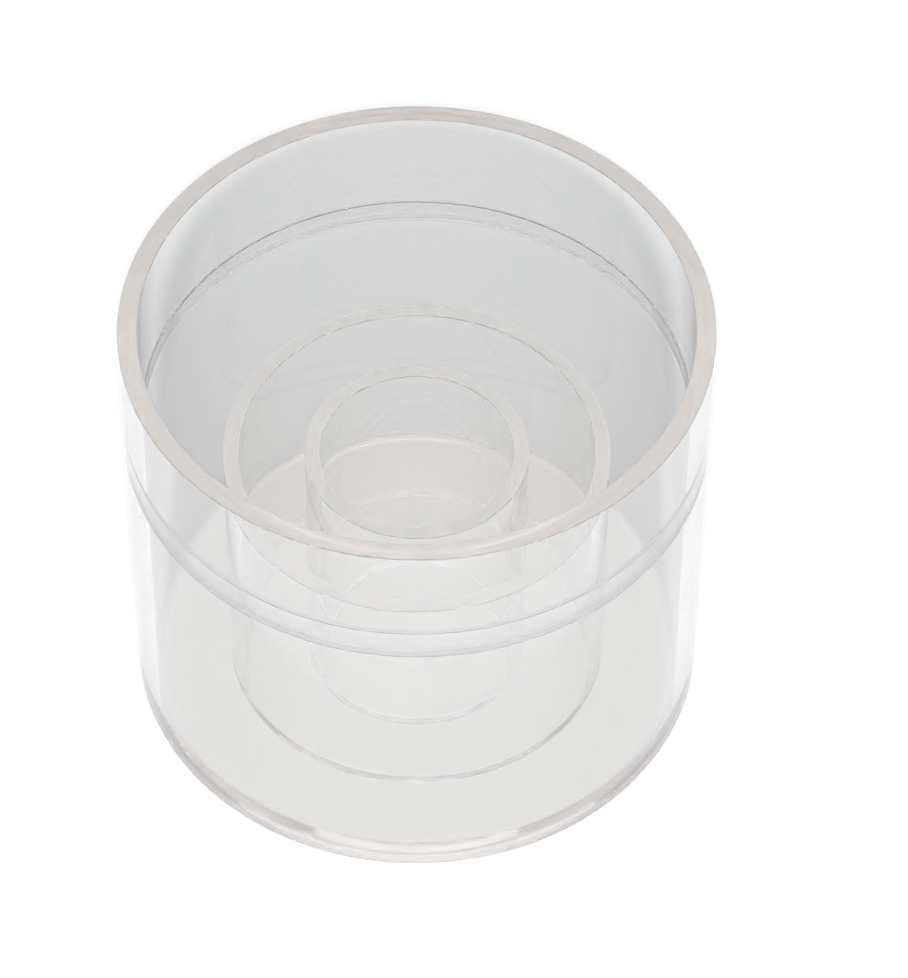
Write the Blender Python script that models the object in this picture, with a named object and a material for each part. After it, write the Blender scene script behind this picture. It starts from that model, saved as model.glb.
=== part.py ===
"""Clear acrylic drinking vessel with two standing tubes and a lift-off collar.

A wide tube stands on an inset base plate. Two narrower tubes of equal height
are cemented upright on the plate, one inside the other. A spigot ring on the
rim of the wide tube holds a loose collar of the same tube, which lifts off
straight up. Units are metres, +Z is up, the underside of the plate is z = 0.
"""

import bpy
import bmesh
from math import cos, radians, sin

# Driving dimensions: stock tube and sheet sizes, and heights above the table.
OUTER_DIAMETER = 0.150
OUTER_WALL = 0.005
LARGE_TUBE_DIAMETER = 0.100
LARGE_TUBE_WALL = 0.004
SMALL_TUBE_DIAMETER = 0.058
SMALL_TUBE_WALL = 0.004
PLATE_THICKNESS = 0.005
TOTAL_HEIGHT = 0.1276
SEAM_HEIGHT = 0.0890
INNER_TUBE_TOP = 0.0781

# The lap between the lower tube, the spigot ring and the collar.
SPIGOT_THICKNESS = 0.0016
SPIGOT_HEIGHT = 0.0070
SPIGOT_CHAMFER = 0.0004
LAP_END_CLEARANCE = 0.0004

CEMENT_GAP = 0.0003
RUNNING_GAP = 0.0003
SAWN_EDGE = 0.0003
SEGMENTS = 96

# Worked out from the dimensions above.
OUTER_RADIUS = OUTER_DIAMETER / 2
BORE_RADIUS = OUTER_RADIUS - OUTER_WALL
SPIGOT_RADIUS = BORE_RADIUS + SPIGOT_THICKNESS
SPIGOT_BASE = SEAM_HEIGHT + CEMENT_GAP
SPIGOT_TOP = SEAM_HEIGHT + SPIGOT_HEIGHT
COLLAR_BASE = SEAM_HEIGHT + RUNNING_GAP
COUNTERBORE_RADIUS = SPIGOT_RADIUS + RUNNING_GAP
COUNTERBORE_TOP = SPIGOT_TOP + LAP_END_CLEARANCE


def clear_scene():
    """Removes whatever the scene holds."""
    for obj in list(bpy.data.objects):
        bpy.data.objects.remove(obj, do_unlink=True)


def clear_acrylic(name, tint, roughness):
    """A see-through acrylic with its own faint tint and surface roughness."""
    material = bpy.data.materials.new(name)
    material.use_nodes = True
    shader = material.node_tree.nodes["Principled BSDF"]
    shader.inputs["Base Color"].default_value = (*tint, 1.0)
    shader.inputs["Roughness"].default_value = roughness
    shader.inputs["Metallic"].default_value = 0.0
    shader.inputs["IOR"].default_value = 1.49
    shader.inputs["Transmission Weight"].default_value = 1.0
    material.diffuse_color = (*tint, 0.35)
    return material


def add_object(name, mesh, material, parent):
    """Puts a finished mesh in the scene, shaded smooth except at its corners."""
    mesh.materials.append(material)
    mesh.shade_smooth()
    mesh.set_sharp_from_angle(angle=radians(30))
    obj = bpy.data.objects.new(name, mesh)
    obj.parent = parent
    bpy.context.scene.collection.objects.link(obj)
    return obj


def ring_of_points(bm, radius, height):
    """One circle of vertices round the Z axis."""
    points = []
    for step in range(SEGMENTS):
        angle = radians(360 * step / SEGMENTS)
        points.append(bm.verts.new((radius * cos(angle), radius * sin(angle), height)))
    return points


def turned_tube(name, profile, material, parent):
    """Turns a closed outline of (radius, height) corners round the Z axis."""
    bm = bmesh.new()
    circles = [ring_of_points(bm, radius, height) for radius, height in profile]
    for here, below in zip(circles, circles[1:] + circles[:1]):
        for step in range(SEGMENTS):
            after = (step + 1) % SEGMENTS
            bm.faces.new((here[step], below[step], below[after], here[after]))
    bmesh.ops.recalc_face_normals(bm, faces=bm.faces)
    mesh = bpy.data.meshes.new(name)
    bm.to_mesh(mesh)
    bm.free()
    return add_object(name, mesh, material, parent)


def plain_tube_profile(outer, inner, bottom, top):
    """Outline of a tube whose two sawn ends have their corners taken off."""
    return [
        (outer - SAWN_EDGE, top),
        (outer, top - SAWN_EDGE),
        (outer, bottom + SAWN_EDGE),
        (outer - SAWN_EDGE, bottom),
        (inner + SAWN_EDGE, bottom),
        (inner, bottom + SAWN_EDGE),
        (inner, top - SAWN_EDGE),
        (inner + SAWN_EDGE, top),
    ]


def base_plate(parent):
    """Round sheet that closes the bottom, set inside the wide tube."""
    radius = BORE_RADIUS - CEMENT_GAP
    bm = bmesh.new()
    bmesh.ops.create_cone(
        bm,
        cap_ends=True,
        segments=SEGMENTS,
        radius1=radius,
        radius2=radius,
        depth=PLATE_THICKNESS,
    )
    bmesh.ops.translate(bm, verts=bm.verts, vec=(0, 0, PLATE_THICKNESS / 2))
    corners = [edge for edge in bm.edges if len(edge.link_faces) == 2]
    corners = [edge for edge in corners if edge.calc_face_angle() > radians(60)]
    bmesh.ops.bevel(bm, geom=corners, offset=SAWN_EDGE, segments=1, affect="EDGES")
    mesh = bpy.data.meshes.new("base_plate")
    bm.to_mesh(mesh)
    bm.free()
    material = clear_acrylic("clear_sheet", (0.95, 0.96, 0.96), 0.05)
    return add_object("base_plate", mesh, material, parent)


def lower_wall_tube(parent):
    """The wide tube up to the seam."""
    profile = plain_tube_profile(OUTER_RADIUS, BORE_RADIUS, 0.0, SEAM_HEIGHT)
    material = clear_acrylic("clear_wide_tube", (0.94, 0.95, 0.95), 0.05)
    return turned_tube("lower_wall_tube", profile, material, parent)


def spigot_ring(parent):
    """Thin ring cemented on the rim of the wide tube, flush with its bore."""
    profile = [
        (SPIGOT_RADIUS - SPIGOT_CHAMFER, SPIGOT_TOP),
        (SPIGOT_RADIUS, SPIGOT_TOP - SPIGOT_CHAMFER),
        (SPIGOT_RADIUS, SPIGOT_BASE),
        (BORE_RADIUS, SPIGOT_BASE),
        (BORE_RADIUS, SPIGOT_TOP - SPIGOT_CHAMFER),
        (BORE_RADIUS + SPIGOT_CHAMFER, SPIGOT_TOP),
    ]
    material = clear_acrylic("clear_spigot", (0.93, 0.93, 0.94), 0.08)
    return turned_tube("spigot_ring", profile, material, parent)


def upper_collar(parent):
    """The loose length of wide tube, bored out at its lower end for the ring."""
    profile = [
        (OUTER_RADIUS - SAWN_EDGE, TOTAL_HEIGHT),
        (OUTER_RADIUS, TOTAL_HEIGHT - SAWN_EDGE),
        (OUTER_RADIUS, COLLAR_BASE + SAWN_EDGE),
        (OUTER_RADIUS - SAWN_EDGE, COLLAR_BASE),
        (COUNTERBORE_RADIUS + SAWN_EDGE, COLLAR_BASE),
        (COUNTERBORE_RADIUS, COLLAR_BASE + SAWN_EDGE),
        (COUNTERBORE_RADIUS, COUNTERBORE_TOP),
        (BORE_RADIUS, COUNTERBORE_TOP),
        (BORE_RADIUS, TOTAL_HEIGHT - SAWN_EDGE),
        (BORE_RADIUS + SAWN_EDGE, TOTAL_HEIGHT),
    ]
    material = clear_acrylic("clear_collar", (0.95, 0.95, 0.96), 0.05)
    return turned_tube("upper_collar", profile, material, parent)


def standing_tube(name, diameter, wall, tint, parent):
    """A narrow tube cemented upright on the plate."""
    outer = diameter / 2
    bottom = PLATE_THICKNESS + CEMENT_GAP
    profile = plain_tube_profile(outer, outer - wall, bottom, INNER_TUBE_TOP)
    material = clear_acrylic("clear_" + name, tint, 0.05)
    return turned_tube(name, profile, material, parent)


def lift_axis():
    """Empty on the axis that the collar lifts along, at the seam."""
    empty = bpy.data.objects.new("collar_lift_axis", None)
    bpy.context.scene.collection.objects.link(empty)
    return empty


def main():
    clear_scene()
    base_plate(None)
    lower_wall_tube(None)
    spigot_ring(None)
    tube_tint = (0.94, 0.95, 0.96)
    standing_tube("large_inner_tube", LARGE_TUBE_DIAMETER, LARGE_TUBE_WALL, tube_tint, None)
    standing_tube("small_inner_tube", SMALL_TUBE_DIAMETER, SMALL_TUBE_WALL, tube_tint, None)
    upper_collar(lift_axis())


main()
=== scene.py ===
"""Clear acrylic drinker vessel with standing tubes, and a collar modelled as
lifting off. Lengths are in metres."""

from math import cos, pi, radians, sin

import bpy
import numpy as np
from mathutils import Matrix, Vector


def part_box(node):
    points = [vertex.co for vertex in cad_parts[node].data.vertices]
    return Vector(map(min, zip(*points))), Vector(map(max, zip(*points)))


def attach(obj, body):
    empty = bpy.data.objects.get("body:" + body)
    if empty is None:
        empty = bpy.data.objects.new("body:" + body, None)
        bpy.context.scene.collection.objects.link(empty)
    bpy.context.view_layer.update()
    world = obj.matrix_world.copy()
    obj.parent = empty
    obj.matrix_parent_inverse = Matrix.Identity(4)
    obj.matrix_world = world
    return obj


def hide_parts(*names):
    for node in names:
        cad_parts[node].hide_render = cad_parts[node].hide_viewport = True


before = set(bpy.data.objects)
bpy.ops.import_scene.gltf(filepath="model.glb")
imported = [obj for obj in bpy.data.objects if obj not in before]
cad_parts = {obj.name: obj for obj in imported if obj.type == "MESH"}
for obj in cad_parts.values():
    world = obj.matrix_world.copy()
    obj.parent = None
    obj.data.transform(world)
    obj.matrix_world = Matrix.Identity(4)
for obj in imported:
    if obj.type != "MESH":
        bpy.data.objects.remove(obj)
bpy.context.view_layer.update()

MM = 0.001

# Places read from the frame, in metres.
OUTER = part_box("lower_wall_tube")[1][0]
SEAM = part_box("lower_wall_tube")[1][2]
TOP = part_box("upper_collar")[1][2]
PLATE_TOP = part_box("base_plate")[1][2]
RING_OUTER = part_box("spigot_ring")[1][0]
RING_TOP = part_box("spigot_ring")[1][2]
LARGE_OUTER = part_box("large_inner_tube")[1][0]
SMALL_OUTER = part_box("small_inner_tube")[1][0]
TUBE_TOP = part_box("large_inner_tube")[1][2]

# Sizes and workshop clearances. None is known to be a stock size.
WALL = 5.0 * MM
TUBE_WALL = 4.0 * MM
BORE = OUTER - WALL
GLUE = 0.03 * MM
SEAM_GAP = 0.06 * MM
LAP_GAP = 0.15 * MM
LAP_TOP_GAP = 0.22 * MM
ARRIS = 0.22 * MM
FINE_ARRIS = 0.12 * MM
LEAD_IN = 0.4 * MM
BEAD = 1.6 * MM

# Camera: pitch below the horizontal, distance in metres, lens in millimetres.
VIEW_PITCH = radians(50.92)
VIEW_DISTANCE = 1.3625
VIEW_LENS = 193.07
AIM_PAN = radians(0.406)
AIM_TILT = radians(-0.038)
SENSOR_WIDTH = 36.0

# Lights: powers in watts, sides and places in metres.
SKY = 0.72
LAMP_POWER = 34.0
LAMP_WIDTH = 0.08
LAMP_BEHIND_CAMERA = 0.03
STRIP_POWER = 1.5
STRIP_SIDES = (0.5, 0.3)
STRIP_PLACE = (0.12, 0.1, 1.2)
STRIP_TURN = (radians(-5), radians(6), 0)

# The table is lowered a touch so that the foot and it are never one surface.
TABLE_HALF = 4.0
TABLE_DROP = 0.2 * MM

BOUNCES = 40
CLEAR_BOUNCES = 60

# Steps round the axis on plain and chipped pieces, and points on each arc.
STEPS_ROUND = 720
STEPS_NICKED = 1440
ARC_STEPS = 5
STRAIGHT = 1e-6

# Material slots. The plate has its edge cement where others have a sawn end.
POLISHED, SAWN, CEMENTED = 0, 1, 2
PLATE_EDGE, PLATE_BEAD = 1, 3


# --------------------------------------------------------------------------
# Node helpers
# --------------------------------------------------------------------------

def new_material(name):
    """An empty node material and its output node."""
    material = bpy.data.materials.new(name)
    material.use_nodes = True
    tree = material.node_tree
    tree.nodes.clear()
    output = tree.nodes.new("ShaderNodeOutputMaterial")
    return material, tree, output


def add_node(tree, kind, **settings):
    """A node with its properties set."""
    node = tree.nodes.new(kind)
    for key, value in settings.items():
        setattr(node, key, value)
    return node


def object_point(tree, scale=(1, 1, 1)):
    """The point on the piece in metres, stretched by scale."""
    coordinates = add_node(tree, "ShaderNodeTexCoord")
    mapping = add_node(tree, "ShaderNodeMapping")
    mapping.inputs["Scale"].default_value = scale
    tree.links.new(coordinates.outputs["Object"], mapping.inputs["Vector"])
    return mapping.outputs["Vector"]


def noise(tree, vector, scale, detail=2.0, roughness=0.5):
    """Cloud noise from 0 to 1 at a number of features to the metre."""
    node = add_node(tree, "ShaderNodeTexNoise")
    node.inputs["Scale"].default_value = scale
    node.inputs["Detail"].default_value = detail
    node.inputs["Roughness"].default_value = roughness
    tree.links.new(vector, node.inputs["Vector"])
    return node.outputs["Fac"]


def remap(tree, value, low, high, to_low, to_high):
    """Value from low..high carried to to_low..to_high and held at the ends."""
    node = add_node(tree, "ShaderNodeMapRange")
    node.inputs["From Min"].default_value = low
    node.inputs["From Max"].default_value = high
    node.inputs["To Min"].default_value = to_low
    node.inputs["To Max"].default_value = to_high
    tree.links.new(value, node.inputs["Value"])
    return node.outputs["Result"]


def blend_colours(tree, factor, first, second):
    """The colour first where factor is 0 and second where it is 1."""
    node = add_node(tree, "ShaderNodeMix", data_type="RGBA")
    node.inputs["A"].default_value = (*first, 1)
    node.inputs["B"].default_value = (*second, 1)
    tree.links.new(factor, node.inputs["Factor"])
    return [out for out in node.outputs if out.type == "RGBA"][0]


def bump(tree, height, distance, below=None):
    """A bump of that depth in metres, laid over another if one is given."""
    node = add_node(tree, "ShaderNodeBump")
    node.inputs["Distance"].default_value = distance
    node.inputs["Strength"].default_value = 1.0
    tree.links.new(height, node.inputs["Height"])
    if below is not None:
        tree.links.new(below, node.inputs["Normal"])
    return node.outputs["Normal"]


def let_light_through(tree, output, shader, shade):
    """Lamps and the light that the floor scatters pass the clear walls unbent,
    dimmed once however many walls they cross. The dimming is a fitted factor,
    not the plastic's own absorption."""
    path = add_node(tree, "ShaderNodeLightPath")
    # 0 at the first wall on the way, 1 at every later one.
    crossed = remap(tree, path.outputs["Transparent Depth"], 0.4, 0.6, 0, 1)
    clear = add_node(tree, "ShaderNodeBsdfTransparent")
    dimming = blend_colours(tree, crossed, (shade, shade, shade), (1, 1, 1))
    tree.links.new(dimming, clear.inputs["Color"])
    inner = add_node(tree, "ShaderNodeMixShader")
    outer = add_node(tree, "ShaderNodeMixShader")
    tree.links.new(path.outputs["Is Diffuse Ray"], inner.inputs[0])
    tree.links.new(shader, inner.inputs[1])
    tree.links.new(clear.outputs[0], inner.inputs[2])
    tree.links.new(path.outputs["Is Shadow Ray"], outer.inputs[0])
    tree.links.new(inner.outputs[0], outer.inputs[1])
    tree.links.new(clear.outputs[0], outer.inputs[2])
    tree.links.new(outer.outputs[0], output.inputs["Surface"])


# --------------------------------------------------------------------------
# Finishes
# --------------------------------------------------------------------------

ACRYLIC_INDEX = 1.49

# Facing values over which the slant's tint and painted shade set in, and the worst smear.
SLANT_LOW, SLANT_HIGH = 0.27, 0.92
SMEAR_ROUGHNESS = 0.012

# Depths of the surface marks.
DIE_LINE = 0.001 * MM
SWELL = 0.008 * MM
TOOTH_MARK = 0.003 * MM
SAWN_GRAIN = 0.0008 * MM

# How far each kind of surface dims the light that passes it, fitted.
WALL_SHADE = 0.38
PLATE_SHADE = 0.56
RIM_SHADE = 0.7
FOOT_SHADE = 0.60


def polished_acrylic(name, clean, worn, edge_on, clarity, shade, seed):
    """Drawn or cast acrylic: faint die lines, handling smears and a milky bloom.
    The tint turns to edge_on with the square of the slant. This stands in for
    the longer way through the plastic and is also painted shade on walls seen at a slant."""
    material, tree, output = new_material(name)
    shader = add_node(tree, "ShaderNodeBsdfPrincipled")
    shader.inputs["IOR"].default_value = ACRYLIC_INDEX
    shader.inputs["Transmission Weight"].default_value = clarity
    place = object_point(tree)
    smear = noise(tree, place, 38.0 + seed, 3.0, 0.6)
    smeared = blend_colours(tree, remap(tree, smear, 0.35, 0.7, 0, 1), clean, worn)
    # Painted shade: the colour darkens towards edge_on as the wall is seen more at a
    # slant.
    slant = add_node(tree, "ShaderNodeLayerWeight")
    share = remap(tree, slant.outputs["Facing"], SLANT_LOW, SLANT_HIGH, 0, 1)
    square = add_node(tree, "ShaderNodeMath", operation="MULTIPLY")
    tree.links.new(share, square.inputs[0])
    tree.links.new(share, square.inputs[1])
    colour = blend_colours(tree, square.outputs[0], clean, edge_on)
    tree.links.new(smeared, colour.node.inputs["A"])
    tree.links.new(colour, shader.inputs["Base Color"])
    haze = remap(tree, smear, 0.5, 0.75, 0.0, SMEAR_ROUGHNESS)
    tree.links.new(haze, shader.inputs["Roughness"])
    along = object_point(tree, (1, 1, 0.04))
    die_lines = bump(tree, noise(tree, along, 420.0 + seed, 1.0), DIE_LINE)
    swell = bump(tree, noise(tree, place, 16.0 + seed, 1.0), SWELL, die_lines)
    tree.links.new(swell, shader.inputs["Normal"])
    let_light_through(tree, output, shader.outputs[0], shade)
    return material


def sawn_acrylic(name, pale, dark, clarity, roughness, shade, seed):
    """A sawn and scraped tube end: tool marks, a frosted grain and a warm cast."""
    material, tree, output = new_material(name)
    shader = add_node(tree, "ShaderNodeBsdfPrincipled")
    shader.inputs["IOR"].default_value = ACRYLIC_INDEX
    shader.inputs["Transmission Weight"].default_value = clarity
    place = object_point(tree)
    patches = noise(tree, place, 640.0 + seed, 4.0, 0.6)
    colour = blend_colours(tree, remap(tree, patches, 0.35, 0.68, 0, 1), pale, dark)
    tree.links.new(colour, shader.inputs["Base Color"])
    frost = remap(tree, patches, 0.3, 0.7, 0.8 * roughness, 1.2 * roughness)
    tree.links.new(frost, shader.inputs["Roughness"])
    teeth = object_point(tree, (1, 0.12, 1))
    marks = bump(tree, noise(tree, teeth, 1500.0, 2.0), TOOTH_MARK)
    grain = bump(tree, noise(tree, place, 5200.0, 1.0), SAWN_GRAIN, marks)
    tree.links.new(grain, shader.inputs["Normal"])
    let_light_through(tree, output, shader.outputs[0], shade)
    return material


def cement_film(name, tint, clarity, specks):
    """Cured cement in a joint. Light crosses it unbent, as both sides have its
    index, but for small bubbles that mirror like any acrylic surface."""
    material, tree, output = new_material(name)
    joined = add_node(tree, "ShaderNodeBsdfPrincipled")
    joined.inputs["IOR"].default_value = 1.0
    joined.inputs["Roughness"].default_value = 0.0
    joined.inputs["Transmission Weight"].default_value = clarity
    bubble = add_node(tree, "ShaderNodeBsdfPrincipled")
    bubble.inputs["Base Color"].default_value = (0.97, 0.96, 0.94, 1)
    bubble.inputs["IOR"].default_value = ACRYLIC_INDEX
    bubble.inputs["Roughness"].default_value = 0.1
    bubble.inputs["Transmission Weight"].default_value = 1.0
    place = object_point(tree)
    runs = noise(tree, place, 70.0, 2.0, 0.5)
    darker = tuple(0.97 * part for part in tint)
    cloud = blend_colours(tree, remap(tree, runs, 0.35, 0.65, 0, 1), tint, darker)
    tree.links.new(cloud, joined.inputs["Base Color"])
    spots = noise(tree, place, 900.0, 2.0, 0.6)
    total = add_node(tree, "ShaderNodeMath", operation="ADD")
    tree.links.new(spots, total.inputs[0])
    tree.links.new(runs, total.inputs[1])
    share = remap(tree, total.outputs[0], 2 - specks, 2.02 - specks, 0, 1)
    mix = add_node(tree, "ShaderNodeMixShader")
    tree.links.new(share, mix.inputs[0])
    tree.links.new(joined.outputs[0], mix.inputs[1])
    tree.links.new(bubble.outputs[0], mix.inputs[2])
    let_light_through(tree, output, mix.outputs[0], 1.0)
    return material


# --------------------------------------------------------------------------
# Turned surfaces
# --------------------------------------------------------------------------

def round_steps(count):
    """Evenly spaced angles round the axis, from +X towards +Y."""
    return np.linspace(0, 2 * pi, count, endpoint=False)


def nicks(angles, places, widths, depths, seed):
    """Depth of chipping round an edge: at each place a bump 1 - (d/w)^2 above
    zero, where d is the angle to the place and w its half width, roughened by
    a product of two waves."""
    away = angles[None, :] - np.asarray(places)[:, None]
    away = (away + pi) % (2 * pi) - pi
    bumps = 1 - (away / np.asarray(widths)[:, None]) ** 2
    bumps = np.clip(bumps, 0, None) * np.asarray(depths)[:, None]
    ripple = 0.7 + 0.3 * np.sin(angles * 611 + seed) * np.sin(angles * 257 - seed)
    return bumps.max(axis=0) * ripple


def rounded_outline(corners, angles):
    """Outline in radius and height with every corner rounded, at every angle.

    corners holds (radius, height, rounding, finish): rounding is a length or
    an array with one length for each angle, and finish belongs to the edge
    that leaves the corner. The rounding arc touches both straight edges: its
    points turn the edge normal evenly from one edge's to the next's about a
    centre set in from the corner by rounding / cos(half turn). A corner on
    the axis or on a straight stretch is one point. Returns the points
    (outline, angle, 2), the outward normals and each strip's finish.
    """
    places = np.array([corner[:2] for corner in corners])
    along = np.roll(places, -1, axis=0) - places
    along /= np.linalg.norm(along, axis=1)[:, None]
    outward = np.stack([-along[:, 1], along[:, 0]], axis=1)
    points, normals, finishes = [], [], []
    for index, (radius, height, rounding, finish) in enumerate(corners):
        before, after = outward[index - 1], outward[index]
        turn = np.arccos(np.clip(before @ after, -1, 1))
        if radius == 0 or turn < STRAIGHT:
            normal = after if abs(after[0]) < 0.5 or turn < STRAIGHT else before
            points.append(np.tile(places[index], (len(angles), 1)))
            normals.append(np.tile(normal, (len(angles), 1)))
            finishes.append(finish)
            continue
        size = np.broadcast_to(np.asarray(rounding, float), angles.shape)[:, None]
        side = -1.0 if before[0] * after[1] - before[1] * after[0] > 0 else 1.0
        inwards = (before + after) / np.linalg.norm(before + after)
        centre = places[index] - side * inwards * size / np.cos(turn / 2)
        for share in np.linspace(0, 1, ARC_STEPS):
            normal = np.sin((1 - share) * turn) * before + np.sin(share * turn) * after
            normal /= np.sin(turn)
            points.append(centre + side * size * normal)
            normals.append(np.tile(normal, (len(angles), 1)))
            finishes.append(min(corners[index - 1][3], finish))
        finishes[-1] = finish
    return np.array(points), np.array(normals), np.array(finishes)


def turned_piece(name, corners, steps, materials, body):
    """Sweeps a rounded outline round the Z axis: at angle a the outline point
    (r, h) lies at (r cos a, r sin a, h). Every vertex gets the true normal:
    the outline's direction crossed with the direction round the axis. A row
    of points on the axis becomes one pole."""
    angles = round_steps(steps)
    outline, normals, finishes = rounded_outline(corners, angles)
    cosines, sines = np.cos(angles)[None, :], np.sin(angles)[None, :]

    def swept(pairs):
        """Pairs of (radial, upright) parts turned to each angle."""
        radial, upright = pairs[..., 0], pairs[..., 1]
        return np.stack([radial * cosines, radial * sines, upright], axis=-1)

    points = swept(outline)
    along = swept(np.stack([normals[..., 1], -normals[..., 0]], axis=-1))
    around = np.roll(points, -1, axis=1) - np.roll(points, 1, axis=1)
    facing = np.cross(along, around)
    length = np.linalg.norm(facing, axis=-1, keepdims=True)
    facing = np.where(length > 0, facing / np.maximum(length, 1e-30), swept(normals))
    on_axis = outline[:, 0, 0] == 0
    facing[on_axis] = np.array([0, 0, 1.0]) * normals[on_axis][:, :1, 1:]

    rows, columns = points.shape[:2]
    sizes = np.where(on_axis, 1, columns)
    starts = np.concatenate([[0], np.cumsum(sizes)[:-1]])
    index = starts[:, None] + np.where(on_axis[:, None], 0, np.arange(columns)[None, :])
    below = np.roll(index, -1, axis=0)
    quads = np.stack(
        [index, below, np.roll(below, -1, axis=1), np.roll(index, -1, axis=1)], axis=-1
    )
    faces, slots = [], []
    for row in range(rows):
        under_pole, over_pole = on_axis[row], on_axis[(row + 1) % rows]
        if under_pole and over_pole:
            continue
        kept_corners = [0, 1, 2, 3]
        if under_pole:
            kept_corners = [0, 1, 2]
        elif over_pole:
            kept_corners = [0, 1, 3]
        faces += quads[row][:, kept_corners].tolist()
        slots += [int(finishes[row])] * columns
    kept = [range(1) if pole else range(columns) for pole in on_axis]
    vertices = np.concatenate([points[row, list(take)] for row, take in enumerate(kept)])
    directions = np.concatenate([facing[row, list(take)] for row, take in enumerate(kept)])

    mesh = bpy.data.meshes.new(name)
    mesh.from_pydata(vertices.tolist(), [], faces)
    for material in materials:
        mesh.materials.append(material)
    mesh.polygons.foreach_set("material_index", slots)
    mesh.shade_smooth()
    mesh.update()
    mesh.normals_split_custom_set_from_vertices(directions.tolist())
    piece = bpy.data.objects.new(name, mesh)
    bpy.context.scene.collection.objects.link(piece)
    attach(piece, body)
    return piece


# --------------------------------------------------------------------------
# Pieces
# --------------------------------------------------------------------------

def edge_rounding(arris, groups):
    """Rounding of a chipped edge at each angle: the scraped arris plus nicks
    scattered by groups of (seed, count, from and to degree, half width in
    degrees, depth)."""
    angles = round_steps(STEPS_NICKED)
    rounding = np.full(STEPS_NICKED, arris)
    for seed, count, low, high, width, depth in groups:
        random = np.random.default_rng(seed)
        places = radians(1) * random.uniform(low, high, count)
        widths = radians(width) * random.uniform(0.3, 1.0, count)
        depths = depth * random.uniform(0.25, 1.0, count)
        rounding = rounding + nicks(angles, places, widths, depths, seed)
    return rounding


def make_collar(finishes):
    """Collar, modelled as loose: plain tube, bored out below for the ring."""
    counterbore = RING_OUTER + LAP_GAP
    shoulder = RING_TOP + LAP_TOP_GAP
    bottom = SEAM + SEAM_GAP
    outer_rim = edge_rounding(
        ARRIS, [(7, 12, 0, 360, 0.5, 0.2 * MM), (12, 16, 246, 304, 0.9, 0.34 * MM)]
    )
    inner_rim = edge_rounding(
        ARRIS, [(5, 18, 246, 304, 0.9, 0.34 * MM), (6, 8, 112, 122, 0.6, 0.4 * MM)]
    )
    seam_edge = edge_rounding(
        FINE_ARRIS, [(3, 22, 242, 282, 0.5, 0.05 * MM), (4, 10, 0, 360, 0.4, 0.03 * MM)]
    )
    corners = [
        (OUTER, TOP, outer_rim, POLISHED),
        (OUTER, bottom, seam_edge, SAWN),
        (counterbore, bottom, FINE_ARRIS, POLISHED),
        (counterbore, shoulder, FINE_ARRIS, SAWN),
        (BORE, shoulder, FINE_ARRIS, POLISHED),
        (BORE, TOP, inner_rim, SAWN),
    ]
    piece = turned_piece(
        "clear_collar", corners, STEPS_NICKED, finishes, "collar"
    )
    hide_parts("upper_collar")


def make_lower_wall(finishes):
    """Lower length of the wide tube, cemented to plate and ring inside."""
    seam_edge = edge_rounding(
        FINE_ARRIS, [(8, 20, 242, 282, 0.5, 0.08 * MM), (9, 10, 0, 360, 0.4, 0.03 * MM)]
    )
    corners = [
        (OUTER, SEAM, seam_edge, POLISHED),
        (OUTER, 0.0, ARRIS, SAWN),
        (BORE, 0.0, FINE_ARRIS, CEMENTED),
        (BORE, PLATE_TOP + BEAD, 0, POLISHED),
        (BORE, SEAM, GLUE, CEMENTED),
        (RING_OUTER, SEAM, 0, SAWN),
    ]
    piece = turned_piece(
        "clear_lower_wall", corners, STEPS_NICKED, finishes, "vessel"
    )
    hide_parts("lower_wall_tube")


def make_ring(finishes):
    """Turned ring on the lower wall's rim, with a lead-in at its top."""
    corners = [
        (RING_OUTER, RING_TOP, LEAD_IN, POLISHED),
        (RING_OUTER, SEAM + GLUE, GLUE, CEMENTED),
        (BORE, SEAM + GLUE, GLUE, POLISHED),
        (BORE, RING_TOP, LEAD_IN, SAWN),
    ]
    piece = turned_piece(
        "clear_ring", corners, STEPS_ROUND, finishes, "vessel"
    )
    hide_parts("spigot_ring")


def make_standing_tube(name, node, outer, finishes):
    """Narrow tube with sawn ends, cemented upright on the plate."""
    foot = PLATE_TOP + GLUE
    corners = [
        (outer, TUBE_TOP, ARRIS, POLISHED),
        (outer, foot, GLUE, CEMENTED),
        (outer - TUBE_WALL, foot, GLUE, POLISHED),
        (outer - TUBE_WALL, TUBE_TOP, ARRIS, SAWN),
    ]
    piece = turned_piece(name, corners, STEPS_ROUND, finishes, "vessel")
    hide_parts(node)


def make_plate(finishes):
    """Sheet disc, cemented under both tubes' feet and round its rim, where the
    cement stands up the wall in a hollow bead."""
    radius = BORE - GLUE
    corners = [
        (0.0, PLATE_TOP, 0, POLISHED),
        (SMALL_OUTER - TUBE_WALL, PLATE_TOP, 0, CEMENTED),
        (SMALL_OUTER, PLATE_TOP, 0, POLISHED),
        (LARGE_OUTER - TUBE_WALL, PLATE_TOP, 0, CEMENTED),
        (LARGE_OUTER, PLATE_TOP, 0, POLISHED),
        (radius - BEAD, PLATE_TOP, 2 * BEAD, PLATE_BEAD),
        (radius, PLATE_TOP + BEAD, GLUE, PLATE_EDGE),
        (radius, 0.0, FINE_ARRIS, POLISHED),
        (0.0, 0.0, 0, POLISHED),
    ]
    piece = turned_piece(
        "clear_plate", corners, STEPS_ROUND, finishes, "vessel"
    )
    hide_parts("base_plate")


# --------------------------------------------------------------------------
# Studio
# --------------------------------------------------------------------------

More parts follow.
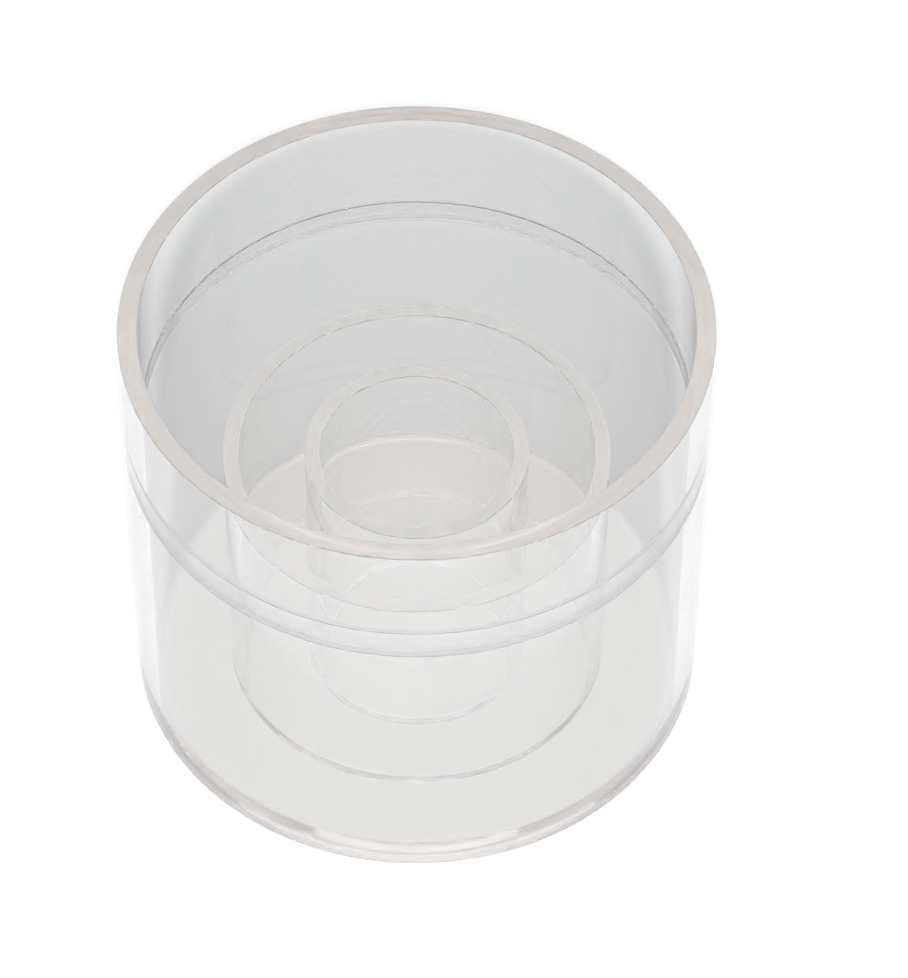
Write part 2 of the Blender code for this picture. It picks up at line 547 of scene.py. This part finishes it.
def make_floor():
    """Plain white table under the vessel."""
    material, tree, output = new_material("white_table")
    shader = add_node(tree, "ShaderNodeBsdfPrincipled")
    grain = noise(tree, object_point(tree), 300.0, 3.0)
    shade = blend_colours(tree, grain, (0.60, 0.60, 0.60), (0.61, 0.61, 0.61))
    tree.links.new(shade, shader.inputs["Base Color"])
    shader.inputs["Roughness"].default_value = 0.9
    shader.inputs["Specular IOR Level"].default_value = 0.1
    tree.links.new(shader.outputs[0], output.inputs["Surface"])
    turns = [(-1, -1), (1, -1), (1, 1), (-1, 1)]
    square = [(x * TABLE_HALF, y * TABLE_HALF, -TABLE_DROP) for x, y in turns]
    mesh = bpy.data.meshes.new("table_top")
    mesh.from_pydata(square, [], [(0, 1, 2, 3)])
    mesh.materials.append(material)
    floor = bpy.data.objects.new("table_top", mesh)
    bpy.context.scene.collection.objects.link(floor)


def make_light():
    """Even white surroundings, a small lamp from the camera's side so that the
    shadow falls behind the vessel, and a weak soft panel overhead. The lamp is
    hidden from mirrored and bent rays, as it would draw a streak on the walls."""
    scene = bpy.context.scene
    world = bpy.data.worlds.new("studio")
    world.use_nodes = True
    tree = world.node_tree
    background = tree.nodes["Background"]
    direction = add_node(tree, "ShaderNodeTexCoord")
    parts = add_node(tree, "ShaderNodeSeparateXYZ")
    tree.links.new(direction.outputs["Generated"], parts.inputs[0])
    height = remap(tree, parts.outputs["Z"], 0.0, 1.0, 0, 1)
    colour = blend_colours(tree, height, (1.0, 1.0, 0.995), (0.985, 0.99, 1.0))
    tree.links.new(colour, background.inputs["Color"])
    background.inputs["Strength"].default_value = SKY
    scene.world = world

    lamp = bpy.data.lights.new("softbox", "AREA")
    lamp.shape = "DISK"
    lamp.size = LAMP_WIDTH
    lamp.energy = LAMP_POWER
    holder = bpy.data.objects.new("softbox", lamp)
    reach = VIEW_DISTANCE + LAMP_BEHIND_CAMERA
    holder.location = (0, -reach * cos(VIEW_PITCH), reach * sin(VIEW_PITCH) + TOP / 2)
    holder.rotation_euler = (pi / 2 - VIEW_PITCH, 0, 0)
    holder.visible_glossy = False
    holder.visible_transmission = False
    scene.collection.objects.link(holder)

    strip = bpy.data.lights.new("strip", "AREA")
    strip.shape = "RECTANGLE"
    strip.size, strip.size_y = STRIP_SIDES
    strip.energy = STRIP_POWER
    holder = bpy.data.objects.new("strip", strip)
    holder.location = STRIP_PLACE
    holder.rotation_euler = STRIP_TURN
    scene.collection.objects.link(holder)


def make_camera():
    """Long lens looking down on the vessel's middle, aimed a touch to its right."""
    forward = np.array([0, cos(VIEW_PITCH), -sin(VIEW_PITCH)])
    right = np.array([1.0, 0, 0])
    up = np.array([0, sin(VIEW_PITCH), cos(VIEW_PITCH)])
    place = np.array([0, 0, TOP / 2]) - forward * VIEW_DISTANCE
    panned = forward * cos(AIM_PAN) + right * sin(AIM_PAN)
    right = right * cos(AIM_PAN) - forward * sin(AIM_PAN)
    tilted = panned * cos(AIM_TILT) + up * sin(AIM_TILT)
    up = up * cos(AIM_TILT) - panned * sin(AIM_TILT)
    camera = bpy.data.cameras.new("camera")
    camera.lens = VIEW_LENS
    camera.sensor_width = SENSOR_WIDTH
    holder = bpy.data.objects.new("camera", camera)
    axes = np.stack([right, up, -tilted, place], axis=1)
    holder.matrix_world = Matrix([*axes.tolist(), [0, 0, 0, 1]])
    bpy.context.scene.collection.objects.link(holder)
    bpy.context.scene.camera = holder


def set_rendering():
    """Enough bounces for light to cross every clear wall."""
    scene = bpy.context.scene
    scene.cycles.use_denoising = True
    scene.cycles.max_bounces = BOUNCES
    scene.cycles.transmission_bounces = BOUNCES
    scene.cycles.glossy_bounces = BOUNCES
    scene.cycles.transparent_max_bounces = CLEAR_BOUNCES
    scene.view_settings.view_transform = "Standard"


def main():
    """Makes the finishes, then the pieces that take them, then the studio."""
    cement = cement_film(
        "clear_cement", tint=(0.985, 0.975, 0.96), clarity=0.985, specks=0.58
    )
    plate_joint = cement_film(
        "plate_cement", tint=(0.945, 0.90, 0.88), clarity=0.84, specks=0.58
    )
    bead = sawn_acrylic(
        "cement_bead", pale=(0.86, 0.82, 0.80), dark=(0.82, 0.78, 0.76),
        clarity=0.98, roughness=0.12, shade=PLATE_SHADE, seed=11
    )
    tube_end = sawn_acrylic(
        "sawn_tube_end", pale=(0.985, 0.97, 0.955), dark=(0.965, 0.95, 0.935),
        clarity=1.0, roughness=0.19, shade=RIM_SHADE, seed=1
    )
    # The rim's colours are darker than the other sawn ends': part a warm cast, part
    # painted shade for how dark the rim looks through the wall.
    rim = sawn_acrylic(
        "sawn_rim_warm_and_painted_shade", pale=(0.78, 0.745, 0.715), dark=(0.71, 0.675, 0.645),
        clarity=0.85, roughness=0.15, shade=RIM_SHADE, seed=3
    )
    foot = sawn_acrylic(
        "sawn_foot", pale=(0.99, 0.985, 0.985), dark=(0.965, 0.965, 0.97),
        clarity=1.0, roughness=0.12, shade=FOOT_SHADE, seed=7
    )
    # edge_on is painted shade on walls seen at a slant, and partly stands in for the
    # longer way through the plastic.
    wide = polished_acrylic(
        "drawn_wide_tube", clean=(0.908, 0.911, 0.92), worn=(0.898, 0.901, 0.908),
        edge_on=(0.38, 0.38, 0.39), clarity=0.955, shade=WALL_SHADE, seed=1
    )
    narrow = polished_acrylic(
        "drawn_narrow_tube", clean=(0.998, 0.998, 0.998), worn=(0.985, 0.985, 0.985),
        edge_on=(0.85, 0.85, 0.85), clarity=0.975, shade=WALL_SHADE, seed=5
    )
    sheet = polished_acrylic(
        "cast_sheet", clean=(0.975, 0.958, 0.918), worn=(0.965, 0.948, 0.908),
        edge_on=(0.9, 0.9, 0.88), clarity=0.97, shade=PLATE_SHADE, seed=9
    )
    turned = polished_acrylic(
        "turned_ring", clean=(0.97, 0.97, 0.97), worn=(0.96, 0.96, 0.96),
        edge_on=(0.7, 0.7, 0.7), clarity=0.97, shade=WALL_SHADE, seed=13
    )
    make_collar([wide, rim, cement])
    make_lower_wall([wide, foot, cement])
    make_ring([turned, tube_end, cement])
    make_standing_tube("clear_large_tube", "large_inner_tube", LARGE_OUTER,
                       [narrow, tube_end, cement])
    make_standing_tube("clear_small_tube", "small_inner_tube", SMALL_OUTER,
                       [narrow, tube_end, cement])
    make_plate([sheet, plate_joint, cement, bead])
    make_floor()
    make_light()
    make_camera()
    set_rendering()


main()
